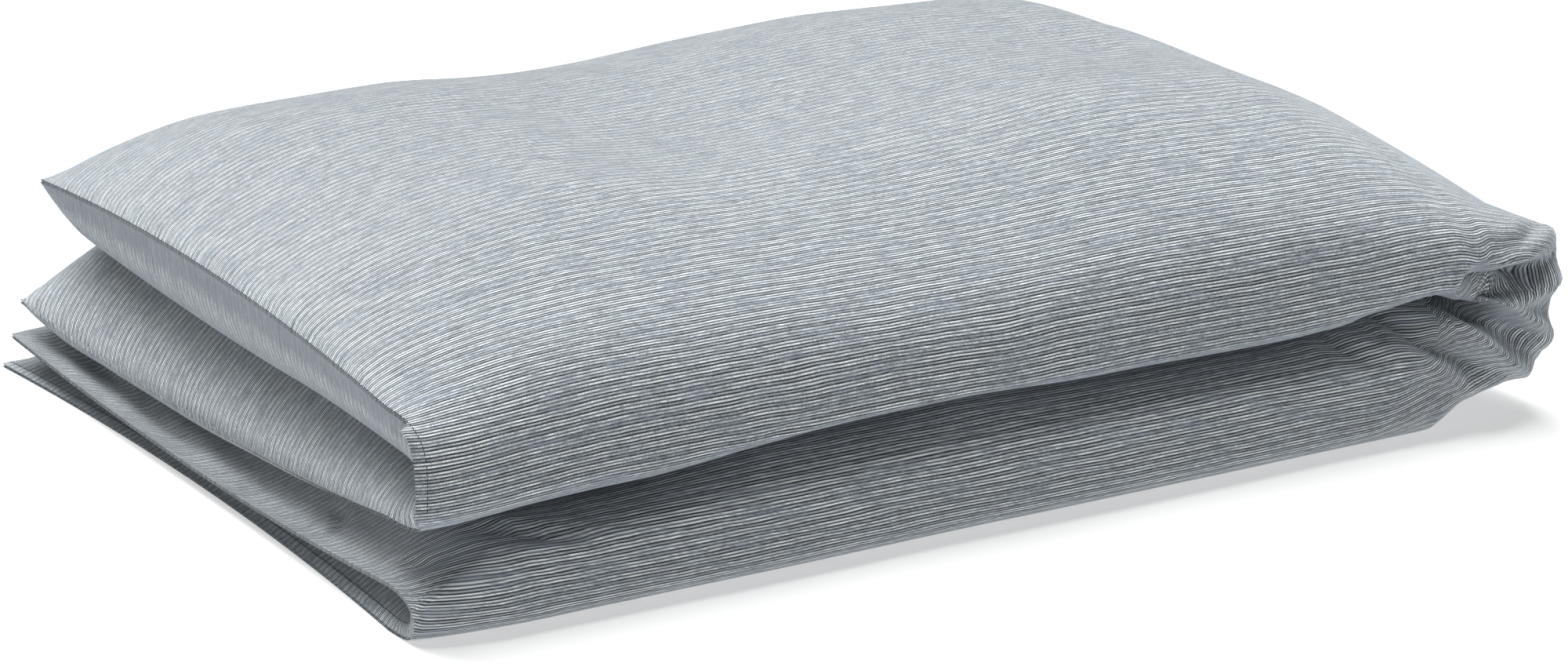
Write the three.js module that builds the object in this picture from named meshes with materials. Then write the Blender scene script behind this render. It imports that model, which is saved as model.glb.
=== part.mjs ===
// A striped duvet cover with its filling, folded in half twice. The first fold runs along the front
// and the second closes it at the right, so four filled layers lie on each other. The open ends of
// the upper pair and the lower pair are at the left, and four sewn edges lie at the back.
// Millimetres, z up. x runs along the front fold, y from the front fold to the back.

import * as THREE from 'three';

// Driving sizes
const HEM = 2.4;            // two cloths and their turned hem, at every sewn edge
const LAYER_GAP = 3;        // air between one layer and the next
const BACK_LINE = 704;      // y of the sewn edges at the back
const FOLD_START = 62;      // y where the front folds begin to turn
const FILLED_FOLD = 50;     // filling between the outer and inner cloth in the front folds
const TURN_LINE = 842;      // x where the upper pair begins to turn down at the right
const LOWER_TURN_LINE = 808;     // x where the turn reaches the lower pair
const TURN_REACH = { front: 106, middle: 68, back: 88 };  // how far that fold stands out past the line

// Crown and layer heights along the length, a row for each section.
// x: place of the section
// crown: height of the top, from the middle of the depth to the back
// droop: how much lower the top is at the start of the front fold
// restFront, restMiddle, restBack: height of the line between the upper and the lower pair
// lowShare: where the lower pair parts, as a share of the rest height
// highShare: where the upper pair parts, as a share of the height above the rest line
// noseHigh, noseLow: height of the foremost line of the upper and the lower front fold
// square: how square the upper fold is above that line, where 2 is an ellipse
const SECTIONS = [
  { x: -10, crown: 200, droop: 33, restFront: 75, restMiddle: 30, restBack: 30,
    lowShare: 0.36, highShare: 0.37, noseHigh: 115, noseLow: 45, square: 3 },
  { x: 20, crown: 206, droop: 31, restFront: 76, restMiddle: 38, restBack: 38,
    lowShare: 0.36, highShare: 0.38, noseHigh: 115, noseLow: 45, square: 3 },
  { x: 60, crown: 213, droop: 31, restFront: 80, restMiddle: 50, restBack: 50,
    lowShare: 0.38, highShare: 0.39, noseHigh: 115, noseLow: 45, square: 3 },
  { x: 110, crown: 220, droop: 33, restFront: 80, restMiddle: 68, restBack: 62,
    lowShare: 0.42, highShare: 0.42, noseHigh: 115, noseLow: 45, square: 3 },
  { x: 160, crown: 226, droop: 36, restFront: 82, restMiddle: 82, restBack: 72,
    lowShare: 0.47, highShare: 0.44, noseHigh: 115, noseLow: 45, square: 3.1 },
  { x: 250, crown: 229, droop: 39, restFront: 92, restMiddle: 94, restBack: 80,
    lowShare: 0.5, highShare: 0.46, noseHigh: 115, noseLow: 45, square: 3.3 },
  { x: 325, crown: 223, droop: 38, restFront: 95, restMiddle: 96, restBack: 82,
    lowShare: 0.5, highShare: 0.48, noseHigh: 115, noseLow: 45, square: 3.5 },
  { x: 410, crown: 223, droop: 38, restFront: 98, restMiddle: 98, restBack: 84,
    lowShare: 0.5, highShare: 0.5, noseHigh: 115, noseLow: 45, square: 3.6 },
  { x: 515, crown: 230, droop: 39, restFront: 93, restMiddle: 96, restBack: 82,
    lowShare: 0.5, highShare: 0.5, noseHigh: 115, noseLow: 46, square: 3.8 },
  { x: 615, crown: 236, droop: 40, restFront: 91, restMiddle: 95, restBack: 80,
    lowShare: 0.5, highShare: 0.5, noseHigh: 116, noseLow: 47, square: 4.2 },
  { x: 715, crown: 233, droop: 38, restFront: 93, restMiddle: 96, restBack: 80,
    lowShare: 0.5, highShare: 0.5, noseHigh: 120, noseLow: 50, square: 4.8 },
  { x: 780, crown: 226, droop: 40, restFront: 102, restMiddle: 100, restBack: 80,
    lowShare: 0.5, highShare: 0.5, noseHigh: 123, noseLow: 53, square: 5 },
  { x: 842, crown: 200, droop: 28, restFront: 104, restMiddle: 100, restBack: 80,
    lowShare: 0.5, highShare: 0.5, noseHigh: 123, noseLow: 55, square: 5 },
];

// The four layers, from the top one down.
// endX, endZ: the sewn edge at the left end, as [front, middle, back]
// backY, backZ: the sewn edge at the back, as [left, middle, right]
// Each nose is how far in from a sewn edge the filling reaches its full height, and its bluntness:
// 0.5 is round and 1 is a plain slope. foldShape is how square the layer's half of its front fold is;
// the top layer has its own in SECTIONS.
const LAYERS = {
  1: { endX: [-6, 12, 30], endZ: [152, 163, 144], backY: [690, 690, 690], backZ: [144, 118, 100],
    endTop: [110, 0.6], endUnder: [26, 0.5], backTop: [240, 0.6], backUnder: [70, 0.5] },
  2: { endX: [-7, 12, 10], endZ: [78, 46, 52], backY: [694, 690, 690], backZ: [52, 65, 61],
    endTop: [72, 0.62], endUnder: [18, 0.5], backTop: [80, 0.5], backUnder: [60, 0.5], foldShape: 3.6 },
  3: { endX: [-8, 2, 3], endZ: [32, 15, 26], backY: [696, 700, 695], backZ: [26, 38, 30],
    endTop: [75, 0.9], endUnder: [60, 0.7], backTop: [80, 0.5], backUnder: [60, 0.5], foldShape: 2.2 },
  4: { endX: [-8, 9, -2], endZ: [1.2, 1.2, 1.2], backY: [704, 704, 700], backZ: [1.2, 1.2, 1.2],
    endTop: [60, 0.8], endUnder: [30, 0.5], backTop: [60, 0.5], backUnder: [40, 0.5], foldShape: 3.5 },
};
const UPPER_PAIR = { outerLayer: 1, innerLayer: 2, upper: true, hemSetBack: 6, turnLine: TURN_LINE };
const LOWER_PAIR = { outerLayer: 4, innerLayer: 3, upper: false, hemSetBack: 26, turnLine: LOWER_TURN_LINE };
const HEM_SWELL = [90, 0.5];     // how far in the front folds reach their full depth
const FOLD_FILL = [60, 0.5];     // how far in their filling is full
const FRONT_SLOPE = { start: 230, power: 1.75 };  // where the top begins to fall to the front fold

// Fullness of the right-hand fold near its front corner, by the angle from straight up, in degrees:
// size for the cloth behind the front fold, and front for the front fold's own face
const TURN_FULLNESS = [
  { angle: 0, size: 1, front: 1 }, { angle: 18, size: 0.89, front: 0.99 },
  { angle: 36, size: 0.87, front: 1.05 }, { angle: 53, size: 0.86, front: 1.11 },
  { angle: 66, size: 0.88, front: 1.02 }, { angle: 78, size: 0.84, front: 0.88 },
  { angle: 94, size: 0.76, front: 0.79 }, { angle: 112, size: 0.88, front: 0.88 },
  { angle: 124, size: 1.1, front: 1.1 }, { angle: 138, size: 1.02, front: 1.02 },
  { angle: 152, size: 0.84, front: 0.84 }, { angle: 166, size: 0.82, front: 0.82 },
  { angle: 180, size: 1, front: 1 },
];
const FULLNESS_REACH = 260;      // how far back from the front that holds
const AXIS_SHARE = { low: 0.3, high: 0.7 };      // where the fold's middle may lie, as a share of its height
// Creases that run out from the corner of the two folds, by the same angle
const CREASES = [
  { angle: 65, width: 5.5, depth: 7, reach: 110 },
  { angle: 130, width: 5.5, depth: 8, reach: 110 },
  { angle: 156, width: 6, depth: 4, reach: 70 },
];
const CREASE_START = { clear: 4, full: 44 };    // distance from the corner where they start, and are deep

// Steps of the mesh: each layer's depth, the front fold, each layer's length, the right-hand fold
const STEPS = { depth: 12, fold: 13, length: 21, turn: 21 };
const EDGE_CROWDING = 1.75;      // puts more steps near the sewn edges

const clamp = (value, low, high) => Math.min(Math.max(value, low), high);
const mix = (a, b, share) => a + (b - a) * share;

// A smooth curve through the rows of a table
function lookUp(rows, key, place, column) {
  const at = clamp(place, rows[0][key], rows[rows.length - 1][key]);
  let i = 0;
  while (i < rows.length - 2 && at > rows[i + 1][key]) i += 1;
  const slope = (j) => {
    const before = rows[Math.max(j - 1, 0)];
    const after = rows[Math.min(j + 1, rows.length - 1)];
    return (after[column] - before[column]) / (after[key] - before[key]);
  };
  const span = rows[i + 1][key] - rows[i][key];
  const t = (at - rows[i][key]) / span;
  return (1 + 2 * t) * (1 - t) ** 2 * rows[i][column] + t * (1 - t) ** 2 * span * slope(i)
    + t * t * (3 - 2 * t) * rows[i + 1][column] + t * t * (t - 1) * span * slope(i + 1);
}

// A smooth curve through three values, at shares 0, a half and 1
function through([first, middle, last], share) {
  const t = clamp(share, 0, 1);
  return first * (1 - t) * (1 - 2 * t) + 4 * middle * t * (1 - t) + last * t * (2 * t - 1);
}

// How full the cloth is at a distance in from a sewn edge, from 0 to 1
function fullness(distance, [reach, bluntness]) {
  const t = clamp(distance / reach, 0, 1);
  return (1 - (1 - t) ** 2) ** bluntness;
}

const depthShare = (y) => clamp((y - FOLD_START) / (BACK_LINE - FOLD_START), 0, 1);
const lengthShare = (x) => clamp(x / TURN_LINE, 0, 1);
const endLine = (layer, y) => through(LAYERS[layer].endX, depthShare(y));
const backLine = (layer, x) => through(LAYERS[layer].backY, lengthShare(x));

function topHeight(x, y) {
  const reach = FRONT_SLOPE.start - FOLD_START;
  const fall = Math.max(FRONT_SLOPE.start - y, 0) / reach;
  return lookUp(SECTIONS, 'x', x, 'crown') - lookUp(SECTIONS, 'x', x, 'droop') * fall ** FRONT_SLOPE.power;
}

function restHeight(x, y) {
  const columns = ['restFront', 'restMiddle', 'restBack'];
  return through(columns.map((column) => lookUp(SECTIONS, 'x', x, column)), depthShare(y));
}

// Height of the upper or the under side of a layer where it is full
function fullHeight(layer, isTop, x, y) {
  const top = topHeight(x, y);
  const rest = restHeight(x, y);
  const parting = {
    4: rest * lookUp(SECTIONS, 'x', x, 'lowShare'),
    3: rest,
    2: rest + (top - rest) * lookUp(SECTIONS, 'x', x, 'highShare'),
  };
  if (isTop) return layer === 1 ? top : parting[layer] - LAYER_GAP / 2;
  return layer === 4 ? 0 : parting[layer + 1] + LAYER_GAP / 2;
}

// The same with its sewn edges, where the two sides come together
function layerHeight(layer, isTop, x, y) {
  const { endZ, backZ, endTop, endUnder, backTop, backUnder } = LAYERS[layer];
  const corner = endZ[2];
  const sewn = through(endZ, depthShare(y)) + through(backZ, lengthShare(x)) - corner
    + (isTop ? HEM / 2 : -HEM / 2);
  const fromEnd = fullness(x - endLine(layer, y), isTop ? endTop : endUnder);
  const fromBack = fullness(backLine(layer, x) - y, isTop ? backTop : backUnder);
  return mix(sewn, fullHeight(layer, isTop, x, y), fromEnd * fromBack);
}

// The stations across the cloth: from the back edge of the outer layer to the front, round the
// front fold, and back along the inner layer
function crossSteps() {
  const depth = Array.from({ length: STEPS.depth + 1 }, (_, i) => (i / STEPS.depth) ** EDGE_CROWDING);
  const fold = Array.from({ length: STEPS.fold - 1 }, (_, i) => Math.PI * (i + 1) / STEPS.fold);
  return [
    ...depth.map((share) => ({ part: 'outerLayer', share })),
    ...fold.map((angle) => ({ part: 'fold', angle })),
    ...depth.slice().reverse().map((share) => ({ part: 'innerLayer', share })),
  ];
}

// One point of the outer or the inner cloth, at a station across and a place along
function clothPoint(pair, isOuter, step, x) {
  const outerIsTop = isOuter === pair.upper;
  if (step.part !== 'fold') {
    const layer = pair[step.part];
    const isTop = step.part === 'outerLayer' ? outerIsTop : !outerIsTop;
    const y = mix(backLine(layer, x), FOLD_START, step.share);
    return { y, z: layerHeight(layer, isTop, x, y) };
  }
  const fromEnd = x - endLine(pair.outerLayer, FOLD_START);
  const filled = fullness(fromEnd, FOLD_FILL);
  const hem = pair.hemSetBack * (1 - fullness(fromEnd, HEM_SWELL));
  const depth = FOLD_START - hem - (isOuter ? 0 : mix(HEM, FILLED_FOLD, filled));
  const isFirstHalf = Math.cos(step.angle) >= 0;
  const layer = isFirstHalf ? pair.outerLayer : pair.innerLayer;
  const isTop = isFirstHalf ? outerIsTop : !outerIsTop;
  const power = 2 / (layer === 1 ? lookUp(SECTIONS, 'x', x, 'square') : LAYERS[layer].foldShape);
  const y = FOLD_START - depth * Math.sin(step.angle) ** power;
  const start = layerHeight(layer, isTop, x, y);
  const foremost = mix(
    (layerHeight(pair.outerLayer, outerIsTop, x, FOLD_START)
      + layerHeight(pair.innerLayer, !outerIsTop, x, FOLD_START)) / 2,
    lookUp(SECTIONS, 'x', x, pair.upper ? 'noseHigh' : 'noseLow'),
    isOuter ? filled : 0,
  );
  return { y, z: mix(foremost, start, Math.abs(Math.cos(step.angle)) ** power) };
}

// x of the left end on a station across
function endOf(pair, step) {
  if (step.part === 'fold') {
    const share = (1 - Math.cos(step.angle)) / 2;
    return mix(endLine(pair.outerLayer, FOLD_START), endLine(pair.innerLayer, FOLD_START), share);
  }
  let x = 0;
  for (let pass = 0; pass < 5; pass += 1) {
    const y = mix(backLine(pair[step.part], x), FOLD_START, step.share);
    x = endLine(pair[step.part], y);
  }
  return x;
}

// One line of the cloth: from its left end over the top, round the right-hand fold and back below.
// Each point keeps its angle round that fold, and the flat runs are no part of it.
function lengthwiseLine(isOuter, step) {
  const shares = Array.from({ length: STEPS.length + 1 }, (_, i) => (i / STEPS.length) ** EDGE_CROWDING);
  const run = (pair) => shares.map((share) => {
    const x = mix(endOf(pair, step), pair.turnLine, share);
    const { y, z } = clothPoint(pair, isOuter, step, x);
    return { x, y, z, angle: Infinity };
  });
  const over = run(UPPER_PAIR);
  const below = run(LOWER_PAIR).reverse();
  const start = over[over.length - 1];
  const end = below[0];
  const axis = clamp(
    restHeight(TURN_LINE, start.y), mix(end.z, start.z, AXIS_SHARE.low), mix(end.z, start.z, AXIS_SHARE.high),
  );
  const fullRadius = topHeight(TURN_LINE, Math.max(start.y, FOLD_START)) / 2;
  const radius = (start.z - end.z) / 2;
  const turn = Array.from({ length: STEPS.turn - 1 }, (_, i) => {
    const angle = 180 * (i + 1) / STEPS.turn;
    const radians = THREE.MathUtils.degToRad(angle);
    const y = mix(start.y, end.y, (1 - Math.cos(radians)) / 2);
    const near = Math.exp(-((Math.max(y, 0) / FULLNESS_REACH) ** 2)) * Math.min(radius / fullRadius, 1) ** 2;
    const full = ['size', 'front'].map((column) => lookUp(TURN_FULLNESS, 'angle', angle, column));
    const size = 1 + (mix(...full, clamp(1 - y / FOLD_START, 0, 1)) - 1) * near;
    const reach = through(Object.values(TURN_REACH), y / BACK_LINE) * radius / fullRadius;
    const rise = angle < 90 ? start.z - axis : axis - end.z;
    const line = angle < 90 ? start.x : end.x;
    const out = (TURN_LINE + reach - line) * Math.sin(radians) * size;
    return { x: line + out, y, z: axis + rise * Math.cos(radians) * size, angle };
  });
  return [...over, ...turn, ...below];
}

const toVector = ({ x, y, z }) => new THREE.Vector3(x, y, z);

// The creases push the outer cloth in along its normal
function pressCreases(lines) {
  const neighbour = (i, j) => toVector(
    lines[clamp(i, 0, lines.length - 1)][clamp(j, 0, lines[0].length - 1)],
  );
  const axis = restHeight(TURN_LINE, 0);
  return lines.map((line, i) => line.map((point, j) => {
    const depth = CREASES.reduce((sum, crease) => sum + crease.depth
      * Math.exp(-(((point.angle - crease.angle) / crease.width) ** 2))
      * Math.exp(-((Math.max(point.y, 0) / crease.reach) ** 2)), 0);
    const fromCorner = Math.hypot(point.x - TURN_LINE, point.z - axis);
    const open = clamp((fromCorner - CREASE_START.clear) / (CREASE_START.full - CREASE_START.clear), 0, 1);
    const across = neighbour(i + 1, j).sub(neighbour(i - 1, j));
    const along = neighbour(i, j + 1).sub(neighbour(i, j - 1));
    const outward = new THREE.Vector3().crossVectors(across, along).normalize();
    return toVector(point).addScaledVector(outward, -depth * open);
  }));
}

// The outer and the inner cloth, and the hem that joins them all round, as one closed body
function buildDuvet() {
  const steps = crossSteps();
  const outer = pressCreases(steps.map((step) => lengthwiseLine(true, step)));
  const inner = steps.map((step) => lengthwiseLine(false, step).map(toVector));
  const across = steps.length;
  const along = outer[0].length;
  const points = [...outer.flat(), ...inner.flat()];
  const outerAt = (i, j) => i * along + j;
  const innerAt = (i, j) => across * along + i * along + j;
  const faces = [];
  const addQuad = (a, b, c, d) => faces.push(a, b, c, a, c, d);
  for (let i = 0; i < across - 1; i += 1) {
    for (let j = 0; j < along - 1; j += 1) {
      addQuad(outerAt(i, j), outerAt(i + 1, j), outerAt(i + 1, j + 1), outerAt(i, j + 1));
      addQuad(innerAt(i, j), innerAt(i, j + 1), innerAt(i + 1, j + 1), innerAt(i + 1, j));
    }
    addQuad(outerAt(i, 0), innerAt(i, 0), innerAt(i + 1, 0), outerAt(i + 1, 0));
    addQuad(outerAt(i, along - 1), outerAt(i + 1, along - 1), innerAt(i + 1, along - 1), innerAt(i, along - 1));
  }
  for (let j = 0; j < along - 1; j += 1) {
    addQuad(outerAt(0, j), outerAt(0, j + 1), innerAt(0, j + 1), innerAt(0, j));
    addQuad(outerAt(across - 1, j), innerAt(across - 1, j), innerAt(across - 1, j + 1), outerAt(across - 1, j + 1));
  }
  const geometry = new THREE.BufferGeometry().setFromPoints(points);
  geometry.setIndex(faces);
  geometry.computeBoundingBox();
  const { min, max } = geometry.boundingBox;
  geometry.translate(-(min.x + max.x) / 2, -(min.y + max.y) / 2, -min.z);
  geometry.computeVertexNormals();
  return geometry;
}

// Yarn-dyed cotton, woven in fine grey, white and charcoal stripes
const stripedCotton = new THREE.MeshStandardMaterial({ color: 0x8e9499, roughness: 0.9, metalness: 0 });

const duvet = new THREE.Mesh(buildDuvet(), stripedCotton);
duvet.name = 'folded_duvet';

const part = new THREE.Group();
part.add(duvet);

export default part;
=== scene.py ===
import math

import bpy
import numpy as np
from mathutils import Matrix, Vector


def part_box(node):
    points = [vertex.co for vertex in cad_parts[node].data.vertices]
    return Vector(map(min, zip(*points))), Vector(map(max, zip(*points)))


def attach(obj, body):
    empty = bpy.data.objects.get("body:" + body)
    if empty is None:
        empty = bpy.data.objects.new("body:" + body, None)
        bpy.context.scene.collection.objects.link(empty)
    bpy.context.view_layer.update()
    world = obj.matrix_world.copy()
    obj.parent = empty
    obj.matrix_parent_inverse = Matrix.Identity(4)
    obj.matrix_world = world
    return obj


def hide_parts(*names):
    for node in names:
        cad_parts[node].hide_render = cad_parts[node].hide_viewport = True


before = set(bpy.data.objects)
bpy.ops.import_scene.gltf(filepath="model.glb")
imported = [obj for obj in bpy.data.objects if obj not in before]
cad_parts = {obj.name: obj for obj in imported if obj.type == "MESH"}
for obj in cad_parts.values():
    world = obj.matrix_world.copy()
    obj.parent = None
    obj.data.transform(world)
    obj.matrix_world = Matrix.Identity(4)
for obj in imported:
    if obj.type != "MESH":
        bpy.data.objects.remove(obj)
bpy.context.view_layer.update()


# The duvet in its cover.
# Two cotton panels are sewn together round their edge over a soft filling. The whole is folded in
# half along its length and again across it, so the outer panel lies outside every fold.
# Sizes are millimetres: x along the front fold, y from the front to the back, z up.

MM = 0.001

HEM = 2.4                  # two cloths and their turned edge
LAYER_GAP = 3.0            # air between one layer and the next
BACK_LINE = 704.0          # y of the sewn edges at the back
FOLD_START = 62.0          # y where the front folds begin to turn
FILLED_FOLD = 50.0         # filling between the two panels in the front folds
TURN_LINE = 842.0          # x where the upper pair of layers turns down at the right
LOWER_TURN_LINE = 808.0    # x where that turn reaches the lower pair
TURN_REACH = (106.0, 68.0, 88.0)   # how far that fold stands out: front, middle and back


def table(names, *rows):
    """Rows of numbers under named columns."""
    return dict(zip(names.split(), np.array(rows, float).T))


# crown: height of the top. droop: how much lower it is at the front fold. rest: height of the line
# between the upper and the lower pair, at the front, middle and back. low, high: where each pair
# parts, as a share of its height. nose: height of the foremost line of each front fold. square: how
# square the upper fold is above that line, where 2 is an ellipse.
SECTIONS = table(
    "x crown droop rest_front rest_middle rest_back low high nose_high nose_low square",
    (-10, 200, 33, 75, 30, 30, 0.36, 0.37, 115, 45, 3.0),
    (20, 206, 31, 76, 38, 38, 0.36, 0.38, 115, 45, 3.0),
    (60, 213, 31, 80, 50, 50, 0.38, 0.39, 115, 45, 3.0),
    (110, 220, 33, 80, 68, 62, 0.42, 0.42, 115, 45, 3.0),
    (160, 226, 36, 82, 82, 72, 0.47, 0.44, 115, 45, 3.1),
    (250, 229, 39, 92, 94, 80, 0.50, 0.46, 115, 45, 3.3),
    (325, 223, 38, 95, 96, 82, 0.50, 0.48, 115, 45, 3.5),
    (410, 223, 38, 98, 98, 84, 0.50, 0.50, 115, 45, 3.6),
    (515, 230, 39, 93, 96, 82, 0.50, 0.50, 115, 46, 3.8),
    (615, 236, 40, 91, 95, 80, 0.50, 0.50, 116, 47, 4.2),
    (715, 233, 38, 93, 96, 80, 0.50, 0.50, 120, 50, 4.8),
    (780, 226, 40, 102, 100, 80, 0.50, 0.50, 123, 53, 5.0),
    (842, 200, 28, 104, 100, 80, 0.50, 0.50, 123, 55, 5.0),
)

# The four layers from the top one down. A sewn edge is given at its front, middle and back, or at
# its left, middle and right. A nose is how far in the filling reaches its full height, and how
# blunt it is there. fold is the fullness of the layer's half of its front fold: 2 is an ellipse.
LAYERS = {
    1: dict(end_x=(-6, 12, 30), end_z=(152, 163, 144), back_y=(690, 690, 690), back_z=(144, 118, 100),
            end_top=(110, 0.6), end_under=(26, 0.5), back_top=(240, 0.6), back_under=(70, 0.5), fold=3.6),
    2: dict(end_x=(-7, 12, 10), end_z=(78, 46, 52), back_y=(694, 690, 690), back_z=(52, 65, 61),
            end_top=(72, 0.62), end_under=(18, 0.5), back_top=(80, 0.5), back_under=(60, 0.5), fold=3.6),
    3: dict(end_x=(-8, 2, 3), end_z=(32, 15, 26), back_y=(696, 700, 695), back_z=(26, 38, 30),
            end_top=(75, 0.9), end_under=(60, 0.7), back_top=(80, 0.5), back_under=(60, 0.5), fold=2.2),
    4: dict(end_x=(-8, 9, -2), end_z=(1.2, 1.2, 1.2), back_y=(704, 704, 700), back_z=(1.2, 1.2, 1.2),
            end_top=(60, 0.8), end_under=(30, 0.5), back_top=(60, 0.5), back_under=(40, 0.5), fold=3.5),
}
UPPER_PAIR = dict(outer=1, inner=2, upper=True, set_back=6, turn=TURN_LINE, nose="nose_high")
LOWER_PAIR = dict(outer=4, inner=3, upper=False, set_back=26, turn=LOWER_TURN_LINE, nose="nose_low")
HEM_SWELL = (90, 0.5)      # how far in the front folds reach their full depth
FOLD_FILL = (60, 0.5)      # how far in their filling is full
FRONT_SLOPE_START = 230.0  # y where the top begins to fall to the front fold
FRONT_SLOPE_POWER = 1.75

# Fullness of the right-hand fold at its front corner, by the angle from straight up
TURN_FULLNESS = table(
    "angle size front",
    (0, 1, 1), (18, 0.89, 0.99), (36, 0.87, 1.05), (53, 0.86, 1.11), (66, 0.88, 1.02), (78, 0.84, 0.88),
    (94, 0.76, 0.79), (112, 0.88, 0.88), (124, 1.1, 1.1), (138, 1.02, 1.02), (152, 0.84, 0.84),
    (166, 0.82, 0.82), (180, 1, 1),
)
FULLNESS_REACH = 260.0     # how far back from the front that holds
AXIS_LOW, AXIS_HIGH = 0.3, 0.7     # where the middle of the fold may lie, as a share of its height

# Steps of the mesh, and how long the first, middle and last of them are beside each other
DEPTH_STEPS, DEPTH_SPACING = 58, (6, 14, 5)
FOLD_STEPS = (24, 20)      # the outer and the inner layer's half of the front fold
LENGTH_STEPS, LENGTH_SPACING = 100, (3, 13, 6)
TURN_STEPS = 84


def mix(a, b, share):
    return a + (b - a) * share


def smooth(rows, key, name, place):
    """A smooth curve through one column of a table."""
    at, value = rows[key], rows[name]
    place = np.clip(place, at[0], at[-1])
    i = np.clip(np.searchsorted(at, place) - 1, 0, len(at) - 2)
    number = np.arange(len(at))
    before, after = np.maximum(number - 1, 0), np.minimum(number + 1, len(at) - 1)
    slope = (value[after] - value[before]) / (at[after] - at[before])
    span = at[i + 1] - at[i]
    t = (place - at[i]) / span
    return (
        (1 + 2 * t) * (1 - t) ** 2 * value[i]
        + t * (1 - t) ** 2 * span * slope[i]
        + t * t * (3 - 2 * t) * value[i + 1]
        + t * t * (t - 1) * span * slope[i + 1]
    )


def through(values, share):
    """A smooth curve through three values, at shares 0, a half and 1."""
    first, middle, last = values
    t = np.clip(share, 0, 1)
    return first * (1 - t) * (1 - 2 * t) + 4 * middle * t * (1 - t) + last * t * (2 * t - 1)


def fullness(distance, nose):
    """How full the cloth is at a distance in from a sewn edge, from 0 to 1."""
    reach, bluntness = nose
    t = np.clip(distance / reach, 0, 1)
    return (1 - (1 - t) ** 2) ** bluntness


def depth_share(y):
    return np.clip((y - FOLD_START) / (BACK_LINE - FOLD_START), 0, 1)


def length_share(x):
    return np.clip(x / TURN_LINE, 0, 1)


def end_line(layer, y):
    return through(LAYERS[layer]["end_x"], depth_share(y))


def back_line(layer, x):
    return through(LAYERS[layer]["back_y"], length_share(x))


def top_height(x, y):
    fall = np.maximum(FRONT_SLOPE_START - y, 0) / (FRONT_SLOPE_START - FOLD_START)
    crown, droop = smooth(SECTIONS, "x", "crown", x), smooth(SECTIONS, "x", "droop", x)
    return crown - droop * fall ** FRONT_SLOPE_POWER


def rest_height(x, y):
    columns = ("rest_front", "rest_middle", "rest_back")
    return through([smooth(SECTIONS, "x", name, x) for name in columns], depth_share(y))


def full_height(layer, is_top, x, y):
    """Height of the upper or under side of a layer where it is full."""
    top, rest = top_height(x, y), rest_height(x, y)
    parting = {
        5: np.full_like(rest, -LAYER_GAP / 2),
        4: rest * smooth(SECTIONS, "x", "low", x),
        3: rest,
        2: rest + (top - rest) * smooth(SECTIONS, "x", "high", x),
        1: top + LAYER_GAP / 2,
    }
    return parting[layer] - LAYER_GAP / 2 if is_top else parting[layer + 1] + LAYER_GAP / 2


def layer_height(layer, is_top, x, y):
    """The same with its sewn edges, where the two panels come together."""
    own = LAYERS[layer]
    sewn = through(own["end_z"], depth_share(y)) + through(own["back_z"], length_share(x))
    sewn = sewn - own["end_z"][2] + (HEM / 2 if is_top else -HEM / 2)
    from_end = fullness(x - end_line(layer, y), own["end_top" if is_top else "end_under"])
    from_back = fullness(back_line(layer, x) - y, own["back_top" if is_top else "back_under"])
    return mix(sewn, full_height(layer, is_top, x, y), from_end * from_back)


def spaced(count, spacing):
    """Shares from 0 to 1 whose steps change smoothly in length."""
    steps = through(spacing, (np.arange(count) + 0.5) / count)
    return np.concatenate([[0], np.cumsum(steps)]) / steps.sum()


def fold_angles(pair):
    """Angles round a front fold, from its outer layer to its inner one, in even steps of cloth."""
    fine = np.linspace(0, math.pi / 2, 600)
    halves = []
    for layer, count in zip((pair["outer"], pair["inner"]), FOLD_STEPS):
        power = 2 / LAYERS[layer]["fold"]
        across, down = np.sin(fine) ** power, np.cos(fine) ** power
        run = np.concatenate([[0], np.cumsum(np.hypot(np.diff(across), np.diff(down)))])
        halves.append(np.interp(np.linspace(0, run[-1], count + 1), run, fine))
    return np.concatenate([halves[0][1:], (math.pi - halves[1])[::-1][1:-1]])


def stations():
    """Places across the cloth: back edge, outer layer, front fold, inner layer, back edge."""
    depth = spaced(DEPTH_STEPS, DEPTH_SPACING)
    folds = zip(fold_angles(UPPER_PAIR), fold_angles(LOWER_PAIR))
    return (
        [("outer", share, share) for share in depth]
        + [("fold", high, low) for high, low in folds]
        + [("inner", share, share) for share in depth[::-1]]
    )


def cloth_points(pair, is_outer, part, value, x):
    """y and z of the outer or the inner panel, at a station across and places along."""
    outer_is_top = is_outer == pair["upper"]
    if part != "fold":
        layer = pair[part]
        is_top = outer_is_top if part == "outer" else not outer_is_top
        y = mix(back_line(layer, x), FOLD_START, value)
        return y, layer_height(layer, is_top, x, y)
    from_end = x - end_line(pair["outer"], FOLD_START)
    filled = fullness(from_end, FOLD_FILL)
    hem = pair["set_back"] * (1 - fullness(from_end, HEM_SWELL))
    depth = FOLD_START - hem - (0 if is_outer else mix(HEM, FILLED_FOLD, filled))
    first_half = math.cos(value) >= 0
    layer = pair["outer"] if first_half else pair["inner"]
    is_top = outer_is_top if first_half else not outer_is_top
    power = 2 / (smooth(SECTIONS, "x", "square", x) if layer == 1 else LAYERS[layer]["fold"])
    y = FOLD_START - depth * math.sin(value) ** power
    start = layer_height(layer, is_top, x, y)
    foremost = mix(
        (layer_height(pair["outer"], outer_is_top, x, FOLD_START)
         + layer_height(pair["inner"], not outer_is_top, x, FOLD_START)) / 2,
        smooth(SECTIONS, "x", pair["nose"], x),
        filled if is_outer else 0,
    )
    return y, mix(foremost, start, abs(math.cos(value)) ** power)


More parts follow.
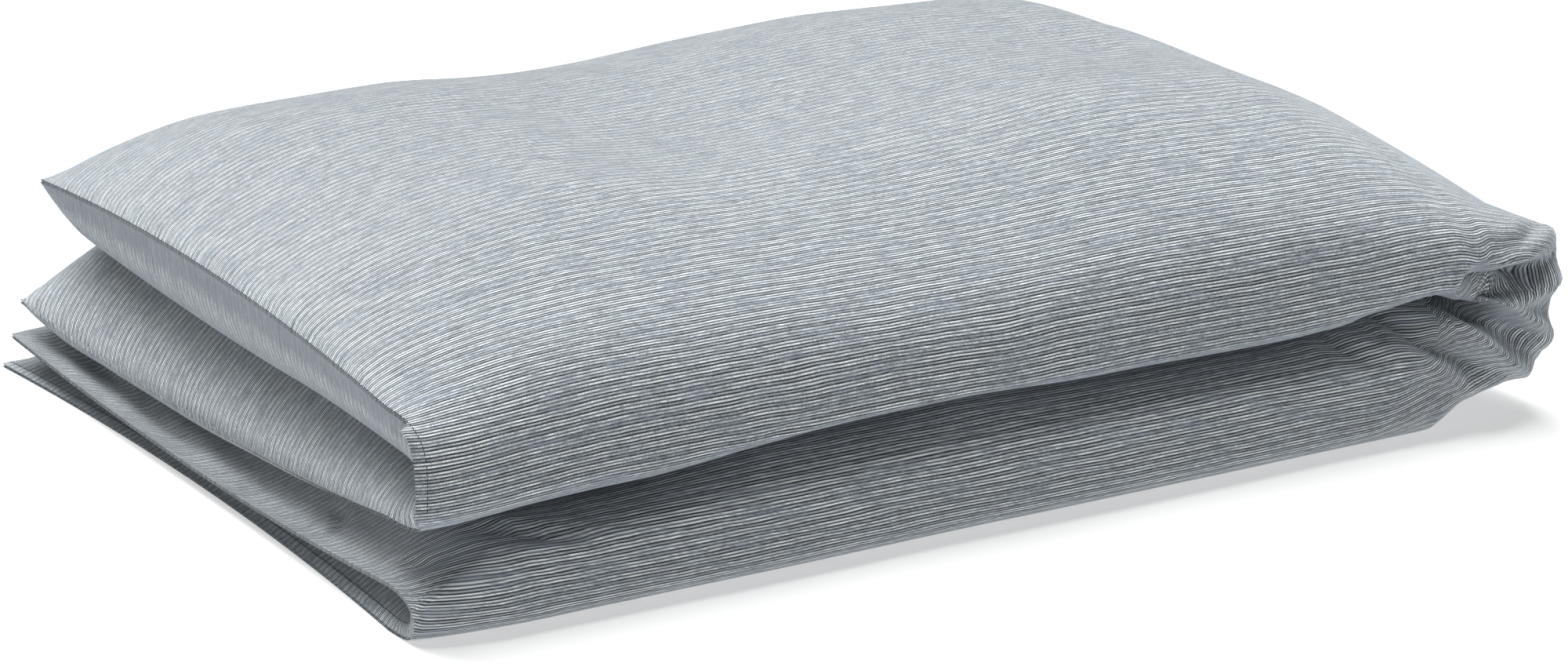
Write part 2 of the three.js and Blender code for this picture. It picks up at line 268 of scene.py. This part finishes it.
def end_of(pair, part, value):
    """x of the left end on a station across."""
    if part == "fold":
        share = (1 - math.cos(value)) / 2
        return mix(end_line(pair["outer"], FOLD_START), end_line(pair["inner"], FOLD_START), share)
    x = 0.0
    for _ in range(5):
        x = end_line(pair[part], mix(back_line(pair[part], x), FOLD_START, value))
    return x


def lengthwise_line(is_outer, station):
    """One line of cloth: over the top, round the right-hand fold and back below it."""
    part, high_value, low_value = station
    runs = []
    for pair, value in ((UPPER_PAIR, high_value), (LOWER_PAIR, low_value)):
        x = mix(end_of(pair, part, value), pair["turn"], spaced(LENGTH_STEPS, LENGTH_SPACING))
        y, z = cloth_points(pair, is_outer, part, value, x)
        runs.append(np.stack([x, np.broadcast_to(y, x.shape), z], 1))
    over, below = runs[0], runs[1][::-1]
    start, end = over[-1], below[0]
    axis = np.clip(
        rest_height(TURN_LINE, start[1]),
        mix(end[2], start[2], AXIS_LOW),
        mix(end[2], start[2], AXIS_HIGH),
    )
    full_radius = top_height(TURN_LINE, max(start[1], FOLD_START)) / 2
    radius = (start[2] - end[2]) / 2
    degrees = np.linspace(0, 180, TURN_STEPS + 1)[1:-1]
    angle = np.radians(degrees)
    y = mix(start[1], end[1], (1 - np.cos(angle)) / 2)
    near = np.exp(-(np.maximum(y, 0) / FULLNESS_REACH) ** 2) * min(radius / full_radius, 1) ** 2
    sizes = [smooth(TURN_FULLNESS, "angle", name, degrees) for name in ("size", "front")]
    size = 1 + (mix(*sizes, np.clip(1 - y / FOLD_START, 0, 1)) - 1) * near
    reach = through(TURN_REACH, y / BACK_LINE) * radius / full_radius
    rise = np.where(degrees < 90, start[2] - axis, axis - end[2])
    line = np.where(degrees < 90, start[0], end[0])
    x = line + (TURN_LINE + reach - line) * np.sin(angle) * size
    turn = np.stack([x, y, axis + rise * np.cos(angle) * size], 1)
    return np.concatenate([over, turn, below])


def outward(grid):
    """Unit normals of a grid of points."""
    normal = np.cross(np.gradient(grid, axis=0), np.gradient(grid, axis=1))
    return normal / np.maximum(np.linalg.norm(normal, axis=-1, keepdims=True), 1e-9)


def lengths(grid, axis):
    """Length along the lines of a grid, from their first point."""
    steps = np.linalg.norm(np.diff(grid, axis=axis), axis=-1)
    start = np.zeros((1, grid.shape[1]) if axis == 0 else (grid.shape[0], 1))
    return np.concatenate([start, np.cumsum(steps, axis=axis)], axis=axis)


def outer_flat_cloth(grid):
    """Where the outer panel's points lie on the flat cloth: along from its end, and across.

    The yarn keeps level along the front folds, whichever line of them stands foremost.
    """
    along, across = lengths(grid, 1), lengths(grid, 0)
    over = LENGTH_STEPS + 1
    front = grid[FRONT_ROW, :, 2]
    turned = (1 - np.cos(np.linspace(0, math.pi, TURN_STEPS + 1)[1:-1])) / 2
    above, below = front[:over] - LEVEL_HIGH, LEVEL_LOW - front[-over:]
    level = np.concatenate([above, mix(above[-1], below[0], turned), below])
    drift = YARN_DRIFT * np.exp(-(along[FRONT_ROW] / YARN_DRIFT_REACH) ** 2)
    return along, across[FRONT_ROW] - across + level - drift - pulled(grid)


def ease(value, start, end):
    """From 0 to 1 between two places, gently at both."""
    t = np.clip((value - start) / (end - start), 0, 1)
    return t * t * (3 - 2 * t)


TUCK = 20.0                # how far the tuck at the right-hand corner draws the lines of yarn up
SLACK = 16.0               # how far they sink in the loose cloth below it


def pulled(grid):
    """How far the lines of yarn are drawn up or down round the tuck, by the places of the cloth."""
    x, y, z = np.moveaxis(grid, -1, 0)
    near = 1 - ease(y, 30, 90)
    tuck = ease(x, 836, 884) * (1 - ease(x, 888, 925))
    tuck = TUCK * tuck * ease(z, 104, 124) * (1 - ease(z, 130, 158))
    fold = -SLACK * ease(x - z, 715, 790) * (1 - ease(z, 78, 112)) * ease(x, 700, 800)
    return near * (tuck + fold)


def inner_flat_cloth(grid):
    """The same of the inner panel, whose spare cloth is crumpled up inside the front folds."""
    along, across = lengths(grid, 1), lengths(grid, 0)
    first, last = DEPTH_STEPS, len(grid) - 1 - DEPTH_STEPS
    fold = (across - across[first]) / (across[last] - across[first])
    outer_side = np.maximum(across[first] - across, 0)
    inner_side = np.maximum(across - across[last], 0)
    return along, outer_side - inner_side + INNER_FOLD_CLOTH * (0.5 - np.clip(fold, 0, 1))


# Creases pressed into the outer panel: where each one starts, passes and ends, its width and depth.
# The first nine run out from the corner where the two folds cross, and a negative depth is a ridge.
CREASES = (
    ((833, 1, 117), (869, 1, 114), (920, 10, 124), 7.0, 25.0),
    ((834, 1, 119), (846, 1, 131), (862, 1, 141), 5.0, 3.5),
    ((864, 1, 134), (884, 6, 143), (903, 19, 145), 4.5, 4.0),
    ((824, 36, 101), (862, 6, 76), (912, 18, 43), 7.0, 25.0),
    ((864, 1, 86), (882, 1, 72), (904, 3, 65), 4.5, 6.0),
    ((893, 0, 96), (900, 1, 84), (903, 3, 68), 4.0, 3.0),
    ((806, 20, 101), (822, 5, 108), (838, 1, 117), 6.0, 4.0),
    ((768, 38, 96), (808, 3, 71), (850, 5, 44), 7.0, 15.0),
    ((862, 1, 56), (872, 2, 50), (886, 6, 42), 4.0, -3.0),
    ((718, 38, 91), (738, 10, 76), (768, 3, 67), 7.0, 5.0),
    ((750, 30, 92), (766, 14, 85), (784, 5, 72), 6.0, 4.5),
    ((38, 34, 71), (66, 16, 68), (128, 2, 54), 5.0, 4.0),
    ((65, 12, 67), (64, 3, 54), (72, 1, 24), 9.0, 2.5),
    ((88, 8, 64), (86, 1, 50), (94, 1, 22), 9.0, 1.8),
    ((1, 60, 46), (5, 48, 48), (10, 36, 48), 3.5, 2.5),
    ((18, 188, 39), (13, 172, 38), (5, 168, 32), 4.0, 4.0),
    ((19, 655, 28), (20, 600, 26), (24, 560, 26), 4.5, 3.0),
    ((52, 668, 34), (30, 610, 30), (22, 540, 27), 7.0, 4.0),
    ((26, 535, 27), (17, 470, 22), (15, 400, 21), 6.0, 3.0),
    ((42, 470, 30), (34, 400, 30), (30, 320, 30), 8.0, 3.0),
    ((240, 4, 103), (262, 0, 110), (284, 0, 114), 3.5, 2.0),
)
CREASE_STEPS = 31          # points along each crease
CREASE_ENDS = 0.06         # how much of a half wave its depth leaves out at each end
FLANK_HEIGHT, FLANK_PLACE, FLANK_WIDTH = 0.3, 2.4, 0.9     # swellings beside it, by depth and width

SWELLINGS = 24             # waves of unevenness laid over each other
UNEVEN = 0.9               # how far the soft filling swells and sinks
UNEVEN_WAVES = (60, 230)   # shortest and longest distance from one swelling to the next
FLOOR_FADE, SEAM_FADE = 20.0, 30.0     # they end this near to the floor and to the sewn edge


def creases(grid):
    """How deep the creases press into the cloth: each a narrow valley between two low swellings."""
    depth = np.zeros(grid.shape[:2])
    for first, middle, last, width, deep in CREASES:
        share = np.linspace(0, 1, CREASE_STEPS)
        curve = through(np.array([first, middle, last], float), share[:, None])
        away = np.linalg.norm(grid[:, :, None] - curve, axis=-1)
        nearest = away.argmin(-1)
        apart = away.min(-1) / width
        ends = np.sin(math.pi * mix(CREASE_ENDS, 1 - CREASE_ENDS, share[nearest])) ** 0.6
        flanks = FLANK_HEIGHT * np.exp(-((apart - FLANK_PLACE) / FLANK_WIDTH) ** 2)
        depth += deep * ends * (np.exp(-apart ** 1.5) - flanks)
    return depth


def swellings(grid, seed):
    """Soft dents and swellings of the filling, with none at the floor or the sewn edge."""
    random = np.random.default_rng(seed)
    height = np.zeros(grid.shape[:2])
    for _ in range(SWELLINGS):
        wave = random.uniform(*UNEVEN_WAVES)
        direction = random.normal(size=3)
        direction *= 2 * math.pi / wave / np.linalg.norm(direction)
        height += wave / UNEVEN_WAVES[1] * np.sin(grid @ direction + random.uniform(0, 2 * math.pi))
    along, across = lengths(grid, 1), lengths(grid, 0)
    from_ends = np.minimum(along, along[:, -1:] - along)
    from_edge = np.minimum(from_ends, np.minimum(across, across[-1:] - across))
    fade = np.clip(grid[..., 2] / FLOOR_FADE, 0, 1) * np.clip(from_edge / SEAM_FADE, 0, 1)
    return UNEVEN * height / height.std() * fade


def press(grid):
    """The outer panel with its creases and swellings, which move it along its normals."""
    return grid + outward(grid) * (swellings(grid, SWELLING_SEED) - creases(grid))[..., None]


FRONT_ROW = DEPTH_STEPS + FOLD_STEPS[0]
LEVEL_HIGH, LEVEL_LOW = 115.0, 45.0      # height of the same line of yarn in the front folds
YARN_DRIFT, YARN_DRIFT_REACH = -8.0, 80.0    # how much lower it lies at the left end
INNER_FOLD_CLOTH = 130.0                 # the inner panel's cloth in a front fold
SWELLING_SEED = 5
outer = press(np.array([lengthwise_line(True, station) for station in stations()]))
inner = np.array([lengthwise_line(False, station) for station in stations()])
outer_flat = outer_flat_cloth(outer)
inner_flat = inner_flat_cloth(inner)

across_count, along_count = outer.shape[:2]
number = np.arange(across_count * along_count).reshape(across_count, along_count)


def edge_loop(grid):
    """The grid's edge in order, once round."""
    return np.concatenate([grid[0, :-1], grid[:-1, -1], grid[-1, :0:-1], grid[:0:-1, 0]])


def inside_edge(grid):
    """For each point of that loop, the next one in from the edge."""
    rows = np.clip(np.arange(across_count), 1, across_count - 2)
    columns = np.clip(np.arange(along_count), 1, along_count - 2)
    return edge_loop(grid[rows][:, columns])


def unit(vectors):
    return vectors / np.maximum(np.linalg.norm(vectors, axis=-1, keepdims=True), 1e-9)


# The sewn edge all round. Along most of it the two panels meet in a narrow groove. Round the upper
# front fold the outer panel's hem stands free, HEM_WIDTH past its topstitching.
HEM_WIDTH = 8.0
HEM_THICKNESS = 1.5
GROOVE = 2.0
HEM_START, HEM_RISE = 30.0, 5.0    # y where it comes free of the seam, and over what length
HEM_FADE = (84.0, 94.0)    # heights between which it joins the seam again
SEAM_LIP = 0.5             # how far each panel stands past its last line at the groove
HEM_ROOT = 1.8             # how far behind the outer panel the turned hem starts
outer_edge, inner_edge = edge_loop(outer), edge_loop(inner)
outer_edge_flat, inner_edge_flat = (edge_loop(np.stack(pair, -1)) for pair in (outer_flat, inner_flat))
away = unit(outer_edge - inside_edge(outer))
away_flat = unit(outer_edge_flat - inside_edge(np.stack(outer_flat, -1)))
facing = edge_loop(outward(outer))
row_of_edge, column_of_edge = (edge_loop(axis) for axis in np.indices((across_count, along_count)))
on_fold = (column_of_edge == 0) & (row_of_edge < across_count - DEPTH_STEPS)
free = np.clip((outer_edge[:, 2] - HEM_FADE[0]) / (HEM_FADE[1] - HEM_FADE[0]), 0, 1) * on_fold
free *= np.clip((HEM_START - outer_edge[:, 1]) / HEM_RISE, 0, 1)
free = free[:, None]
seam = (outer_edge + inner_edge) / 2
hem_lines = (
    mix(outer_edge + SEAM_LIP * away, outer_edge + HEM_WIDTH * away, free),
    mix(seam - GROOVE * away, outer_edge + HEM_WIDTH * away - HEM_THICKNESS * facing, free),
    mix(inner_edge + SEAM_LIP * away, outer_edge - HEM_ROOT * facing, free),
)
hem_flat = outer_edge_flat + away_flat * mix(SEAM_LIP, HEM_WIDTH, free)


def quads(a, b, c, d):
    return np.stack([a.ravel(), b.ravel(), c.ravel(), d.ravel()], 1)


points = np.concatenate([outer.reshape(-1, 3), inner.reshape(-1, 3), *hem_lines])
panel_points = 2 * number.size
inner_number = number + number.size
faces = [
    quads(number[:-1, :-1], number[1:, :-1], number[1:, 1:], number[:-1, 1:]),
    quads(inner_number[:-1, :-1], inner_number[:-1, 1:], inner_number[1:, 1:], inner_number[1:, :-1]),
]
panel_flat = np.concatenate([np.stack(pair, -1).reshape(-1, 2) for pair in (outer_flat, inner_flat)])
flat = [panel_flat[band] for band in faces]
hem_numbers = panel_points + np.arange(len(free)) + len(free) * np.arange(3)[:, None]
loops = [edge_loop(number), *hem_numbers, edge_loop(inner_number)]
loop_flats = [
    (outer_edge_flat, hem_flat), (hem_flat, hem_flat), (hem_flat, outer_edge_flat),
    (inner_edge_flat, inner_edge_flat),
]
for here, there, (here_flat, there_flat) in zip(loops, loops[1:], loop_flats):
    faces.append(quads(here, np.roll(here, -1), np.roll(there, -1), there))
    corners = (here_flat, np.roll(here_flat, -1, 0), np.roll(there_flat, -1, 0), there_flat)
    flat.append(np.stack(corners, 1))
faces, flat = np.concatenate(faces), np.concatenate(flat)

low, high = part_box("folded_duvet")
cad_middle = np.array((low + high) / 2) / MM
panels = points[:panel_points]
shift = cad_middle - (panels.min(0) + panels.max(0)) / 2
shift[2] = -panels[:, 2].min()
points = np.maximum(points + shift, (-np.inf, -np.inf, 0))


def make_mesh(name, points, faces, flat=None):
    """A smooth mesh object from millimetres, with the flat cloth's places as its UV map, in metres."""
    mesh = bpy.data.meshes.new(name)
    mesh.from_pydata((points * MM).tolist(), [], faces.tolist())
    if flat is not None:
        layer = mesh.uv_layers.new(name="flat_cloth")
        layer.data.foreach_set("uv", (flat * MM).astype(np.float32).ravel())
    mesh.shade_smooth()
    piece = bpy.data.objects.new(name, mesh)
    bpy.context.scene.collection.objects.link(piece)
    return piece


duvet = make_mesh("duvet_in_cover", points, faces, flat)


def srgb(code):
    """An sRGB hex colour as linear light."""
    values = [int(code[i:i + 2], 16) / 255 for i in (1, 3, 5)]
    return [c / 12.92 if c <= 0.04045 else ((c + 0.055) / 1.055) ** 2.4 for c in values] + [1.0]


def node(tree, kind, settings, *inputs, **named):
    """Adds a shader node, sets or links its inputs in order or by name, and gives its first output."""
    made = tree.nodes.new("ShaderNode" + kind)
    for name, value in settings.items():
        setattr(made, name, value)
    chosen = [(made.inputs[i], value) for i, value in enumerate(inputs)]
    chosen += [(made.inputs[name.replace("_", " ")], value) for name, value in named.items()]
    for socket, value in chosen:
        if isinstance(value, bpy.types.NodeSocket):
            tree.links.new(value, socket)
        else:
            socket.default_value = value
    return made.outputs[0] if made.outputs else made


# Yarn-dyed cotton in a plain weave.
# Each repeat of 7 mm has three pale and three dark lines of yarn. The yarns are uneven in thickness
# and dye, so the lines break into short dashes, with blue patches where pale and dark yarns blend.
# The real threads are 0.4 mm apart, too fine for the picture, so the weave is drawn at 1 mm.

REPEAT = 7.0
YARN_LINES = (              # where each line starts in the repeat, and its colour
    (0.00, "#D4D9DA"),
    (0.17, "#6A6F75"),
    (0.33, "#DADEDE"),
    (0.50, "#42454B"),
    (0.67, "#B0B6BA"),
    (0.84, "#3B3E44"),
)
LINE_EDGE = 0.025           # how soft a line's edge is, as a share of the repeat
# The same blue-grey is also the painted sheen on cloth that faces down under the upper layers
BLEND_AND_SHEEN = "#8A929B"           # pale and dark yarns mixed, seen in the blue patches
WANDER = ((3.0, 70.0), (0.7, 18.0))     # how far the lines stray, and over what length

# Unevenness of the yarn: mm along it, and shares of a line across it
SLUB, DASH, CROSSING = (16.0, 0.37), (5.0, 0.23), (0.9, 0.41)
SLUB_SHADE, CROSSING_SHADE = 1.0, 0.6
BRIGHTNESS = 1.06
# Unevenness of the cloth: mm along the yarn and across it
PATCH, DENT, PUCKER = (42.0, 13.0), (22.0, 16.0), (60.0, 4.5)
PATCH_SOFTENS, DASH_SOFTENS = 1.7, 1.1
LEAST_SOFT, SOFTEST = 0.17, 0.85
# Painted sheen: how far cloth that faces down, above the lower fold, is mixed toward the blue-grey blend
PAINTED_SHEEN_MIX = 0.6
PAINTED_SHEEN_SLOPE = (-0.30, -0.75)            # upward part of the normal where that begins, and is full
PAINTED_SHEEN_HEIGHT = (60.0, 80.0)             # the same by height: the lower fold keeps its crisp lines
YARN_DEPTH, SLUB_DEPTH, DENT_DEPTH, PUCKER_DEPTH = 0.10, 0.25, 1.3, 1.6
PUCKER_REACH = 9.0                      # from the seam


def striped_cotton():
    """The cloth, by its places on the flat panel in millimetres."""
    material = bpy.data.materials.new("yarn_dyed_cotton_plain_weave")
    material.use_nodes = True
    tree = material.node_tree
    tree.nodes.clear()

    def math_of(operation, *values):
        return node(tree, "Math", {"operation": operation}, *values)

    def scaled(x, y, x_size, y_size, **settings):
        """Noise from 0 to 1 whose grains are x_size along the yarn and y_size across it."""
        place = node(tree, "CombineXYZ", {}, math_of("DIVIDE", x, x_size), math_of("DIVIDE", y, y_size), 0.0)
        return node(tree, "TexNoise", {"noise_dimensions": "2D"}, Vector=place, Scale=1.0, **settings)

    place = node(tree, "UVMap", {"uv_map": "flat_cloth"})
    split = node(tree, "SeparateXYZ", {}, place).node
    along = math_of("DIVIDE", split.outputs["X"], MM)
    straight = math_of("DIVIDE", split.outputs["Y"], MM)
    across = straight
    for reach, size in WANDER:
        stray = math_of("SUBTRACT", scaled(along, straight, 1.2 * size, 0.8 * size, Detail=1.0), 0.5)
        across = math_of("MULTIPLY_ADD", stray, reach, across)
    line = math_of("DIVIDE", across, REPEAT / len(YARN_LINES))
    number = math_of("FLOOR", line)

    # The yarn itself: long slubs, short dashes and the crossings of the weave, line by line
    slub = scaled(along, number, *SLUB, Detail=2.0, Roughness=0.6)
    dash = scaled(along, number, *DASH, Detail=1.0)
    crossing = scaled(along, number, *CROSSING, Detail=0.0)
    patch = scaled(along, across, *PATCH, Detail=3.0, Roughness=0.6)

    ramp = node(tree, "ValToRGB", {}, math_of("FRACT", math_of("DIVIDE", across, REPEAT))).node
    elements = ramp.color_ramp.elements
    elements.remove(elements[-1])
    elements[0].position = 0.0
    elements[0].color = srgb(YARN_LINES[0][1])
    for (_, before), (start, colour) in zip(YARN_LINES, YARN_LINES[1:] + ((1.0, YARN_LINES[0][1]),)):
        for position, shade in ((start - LINE_EDGE, before), (min(start + LINE_EDGE, 1.0), colour)):
            element = elements.new(position)
            element.color = srgb(shade)

    # Blue patches soften the stripes, more in some dashes than in others. Painted sheen softens them too
    # where the upper layers curl under: cloth that faces down, above the lower fold, is mixed toward the
    # blue-grey blend
    soften = math_of("MULTIPLY_ADD", math_of("SUBTRACT", patch, 0.5), PATCH_SOFTENS, LEAST_SOFT)
    soften = math_of("MULTIPLY_ADD", math_of("SUBTRACT", dash, 0.5), DASH_SOFTENS, soften)
    # The painted sheen, by how far the cloth faces down and how high it lies
    surface = node(tree, "NewGeometry", {}).node
    facing_up = node(tree, "SeparateXYZ", {}, surface.outputs["Normal"]).node.outputs["Z"]
    under = node(tree, "MapRange", {}, facing_up, *PAINTED_SHEEN_SLOPE, 0.0, PAINTED_SHEEN_MIX)
    height_up = node(tree, "SeparateXYZ", {}, surface.outputs["Position"]).node.outputs["Z"]
    painted_sheen_height = [height * MM for height in PAINTED_SHEEN_HEIGHT]
    raised = node(tree, "MapRange", {}, height_up, *painted_sheen_height, 0.0, 1.0)
    under = math_of("MULTIPLY", under, raised)
    soften = node(tree, "Clamp", {}, math_of("ADD", soften, under), 0.0, SOFTEST)
    blended = node(tree, "Mix", {"data_type": "RGBA"}, Factor=soften).node
    tree.links.new(ramp.outputs["Color"], blended.inputs[6])
    blended.inputs[7].default_value = srgb(BLEND_AND_SHEEN)
    shade = math_of("MULTIPLY_ADD", math_of("SUBTRACT", slub, 0.5), SLUB_SHADE, BRIGHTNESS)
    shade = math_of("MULTIPLY_ADD", math_of("SUBTRACT", crossing, 0.5), CROSSING_SHADE, shade)
    colour = node(tree, "VectorMath", {"operation": "SCALE"}, blended.outputs[2], Scale=shade)

    # Thick and thin yarn, soft dents of the cloth, and puckers that the sewn edge draws into it
    yarn = math_of("ABSOLUTE", math_of("SINE", math_of("MULTIPLY", line, math.pi)))
    height = math_of("MULTIPLY_ADD", yarn, YARN_DEPTH, math_of("MULTIPLY", slub, SLUB_DEPTH))
    dent = scaled(along, across, *DENT, Detail=2.0)
    height = math_of("MULTIPLY_ADD", dent, DENT_DEPTH, height)
    near_seam = math_of("EXPONENT", math_of("DIVIDE", math_of("ABSOLUTE", along), -PUCKER_REACH))
    pucker = math_of("MULTIPLY", scaled(along, across, *PUCKER, Detail=0.0), near_seam)
    height = math_of("MULTIPLY_ADD", pucker, PUCKER_DEPTH, height)
    relief = node(tree, "Bump", {}, Height=height, Strength=1.0, Distance=MM)

    shader = node(tree, "BsdfPrincipled", {}, Base_Color=colour, Roughness=0.9, Normal=relief).node
    shader.inputs["Sheen Weight"].default_value = 0.8
    shader.inputs["Sheen Roughness"].default_value = 0.5
    shader.inputs["Sheen Tint"].default_value = srgb("#E4EAF0")
    shader.inputs["Specular IOR Level"].default_value = 0.25
    node(tree, "OutputMaterial", {}, Surface=shader.outputs["BSDF"])
    return material


duvet.data.materials.append(striped_cotton())
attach(duvet, "root")
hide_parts("folded_duvet")


# The sewing thread.
# Dark blue-grey cotton thread, lockstitched through the hem a little in from its edge. It shows as
# a dashed line along the seam of the top layer, round its front fold and along the lowest edge.

STITCH, STITCH_GAP = 3.0, 1.2      # mm along the seam
FIRST_STITCH = 2.0                 # mm from the start of the seam
THREAD = 0.55                      # thickness where it lies on the cloth
THREAD_LIFT = ((0, -0.2), (0.25, 0.3), (0.75, 0.3), (1, -0.2))     # height by share of a stitch
LOW_SEAM_STEPS, LOW_SEAM_IN = 12, 3    # how far round the fold it goes on, and lines in from the edge


def stitches(path, facing):
    """A dashed row of thread along a path on the cloth: a small four-sided spindle for each stitch."""
    run = np.concatenate([[0], np.cumsum(np.linalg.norm(np.diff(path, axis=0), axis=1))])
    starts = np.arange(FIRST_STITCH, run[-1] - STITCH, STITCH + STITCH_GAP)

    def on_path(distance, values):
        return np.stack([np.interp(distance, run, column) for column in values.T], 1)

    sections = []
    for share, height in THREAD_LIFT:
        up = unit(on_path(starts + share * STITCH, facing))
        middle = on_path(starts + share * STITCH, path) + height * up
        side = unit(np.cross(on_path(starts + STITCH, path) - on_path(starts, path), up))
        corners = ((side, 1), (up, 1), (side, -1), (up, -1))
        sections.append(np.stack([middle + THREAD / 2 * sign * axis for axis, sign in corners], 1))
    spindle = np.stack(sections, 1).reshape(len(starts), 16, 3)
    ring = np.arange(4)
    sides = [quads(ring + 4 * k, np.roll(ring, -1) + 4 * k, np.roll(ring, -1) + 4 * k + 4, ring + 4 * k + 4)
             for k in range(3)]
    shape = np.concatenate([*sides, [[3, 2, 1, 0], [12, 13, 14, 15]]])
    return spindle.reshape(-1, 3), (shape + 16 * np.arange(len(starts))[:, None, None]).reshape(-1, 4)


fold_end = int(np.argmax(outer[FRONT_ROW:, 0, 2] < HEM_FADE[1])) + FRONT_ROW
low_end = DEPTH_STEPS + LOW_SEAM_STEPS
seams = (
    (outer[:fold_end, 0] + shift, outward(outer)[:fold_end, 0]),
    (inner[:low_end, -LOW_SEAM_IN] + shift, -outward(inner)[:low_end, -LOW_SEAM_IN]),
)
thread_points, thread_faces = [], []
for path, row_facing in seams:
    row_points, row_faces = stitches(path, row_facing)
    thread_faces.append(row_faces + sum(len(placed) for placed in thread_points))
    thread_points.append(row_points)
thread = make_mesh("sewing_thread", np.concatenate(thread_points), np.concatenate(thread_faces))

spun_cotton = bpy.data.materials.new("spun_cotton_thread")
spun_cotton.use_nodes = True
spun_shader = spun_cotton.node_tree.nodes["Principled BSDF"]
spun_shader.inputs["Base Color"].default_value = srgb("#3A424E")
spun_shader.inputs["Roughness"].default_value = 0.8
spun_shader.inputs["Sheen Weight"].default_value = 0.3
thread.data.materials.append(spun_cotton)
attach(thread, "root")


# The room for the picture: a plain pale floor, soft lights and the camera at the photograph's angle

floor_mesh = bpy.data.meshes.new("floor")
reach = 20.0               # metres from the middle to each side
corners = [(-reach, -reach, 0), (reach, -reach, 0), (reach, reach, 0), (-reach, reach, 0)]
floor_mesh.from_pydata(corners, [], [(0, 1, 2, 3)])
floor = bpy.data.objects.new("floor", floor_mesh)
bpy.context.scene.collection.objects.link(floor)
floor_paint = bpy.data.materials.new("matt_white_paint")
floor_paint.use_nodes = True
# Half of the floor's white is its own, so the shadows on it stay pale
FLOOR_GREY, FLOOR_GLOW = 0.46, 0.54
floor_shader = floor_paint.node_tree.nodes["Principled BSDF"]
floor_shader.inputs["Base Color"].default_value = (FLOOR_GREY, FLOOR_GREY, FLOOR_GREY, 1)
floor_shader.inputs["Emission Color"].default_value = (1, 1, 1, 1)
floor_shader.inputs["Emission Strength"].default_value = FLOOR_GLOW
floor_shader.inputs["Roughness"].default_value = 1.0
floor_shader.inputs["Specular IOR Level"].default_value = 0.0
floor_mesh.materials.append(floor_paint)

world = bpy.data.worlds.new("pale_room")
world.use_nodes = True
world.node_tree.nodes["Background"].inputs["Color"].default_value = (1, 1, 1, 1)
world.node_tree.nodes["Background"].inputs["Strength"].default_value = 0.10
bpy.context.scene.world = world

# Soft lamps: name, direction they shine from, width in degrees, strength
for name, toward, width, strength in (
    ("overhead_light", (0, 0, 1), 30, 0.82),
    ("back_light", (0, 1, 1), 45, 1.0),
    ("left_light", (-1, 0, 0.36), 40, 0.10),
    ("front_light", (0, -1, 0.36), 40, 0.09),
):
    lamp = bpy.data.objects.new(name, bpy.data.lights.new(name, "SUN"))
    lamp.data.energy = strength * math.pi
    lamp.data.angle = math.radians(width)
    lamp.rotation_euler = Vector(toward).to_track_quat("Z", "Y").to_euler()
    bpy.context.scene.collection.objects.link(lamp)

camera = bpy.data.objects.new("camera", bpy.data.cameras.new("camera"))
camera.data.lens = 120
camera.data.sensor_width = 36
camera.location = (low.x - 1.440, low.y - 2.7783, 1.224)
camera.rotation_euler = (math.radians(72.17), 0, math.radians(-31.44))
bpy.context.scene.collection.objects.link(camera)
bpy.context.scene.camera = camera
bpy.context.scene.view_settings.view_transform = "Standard"
bpy.context.scene.view_settings.gamma = 1 / 1.25
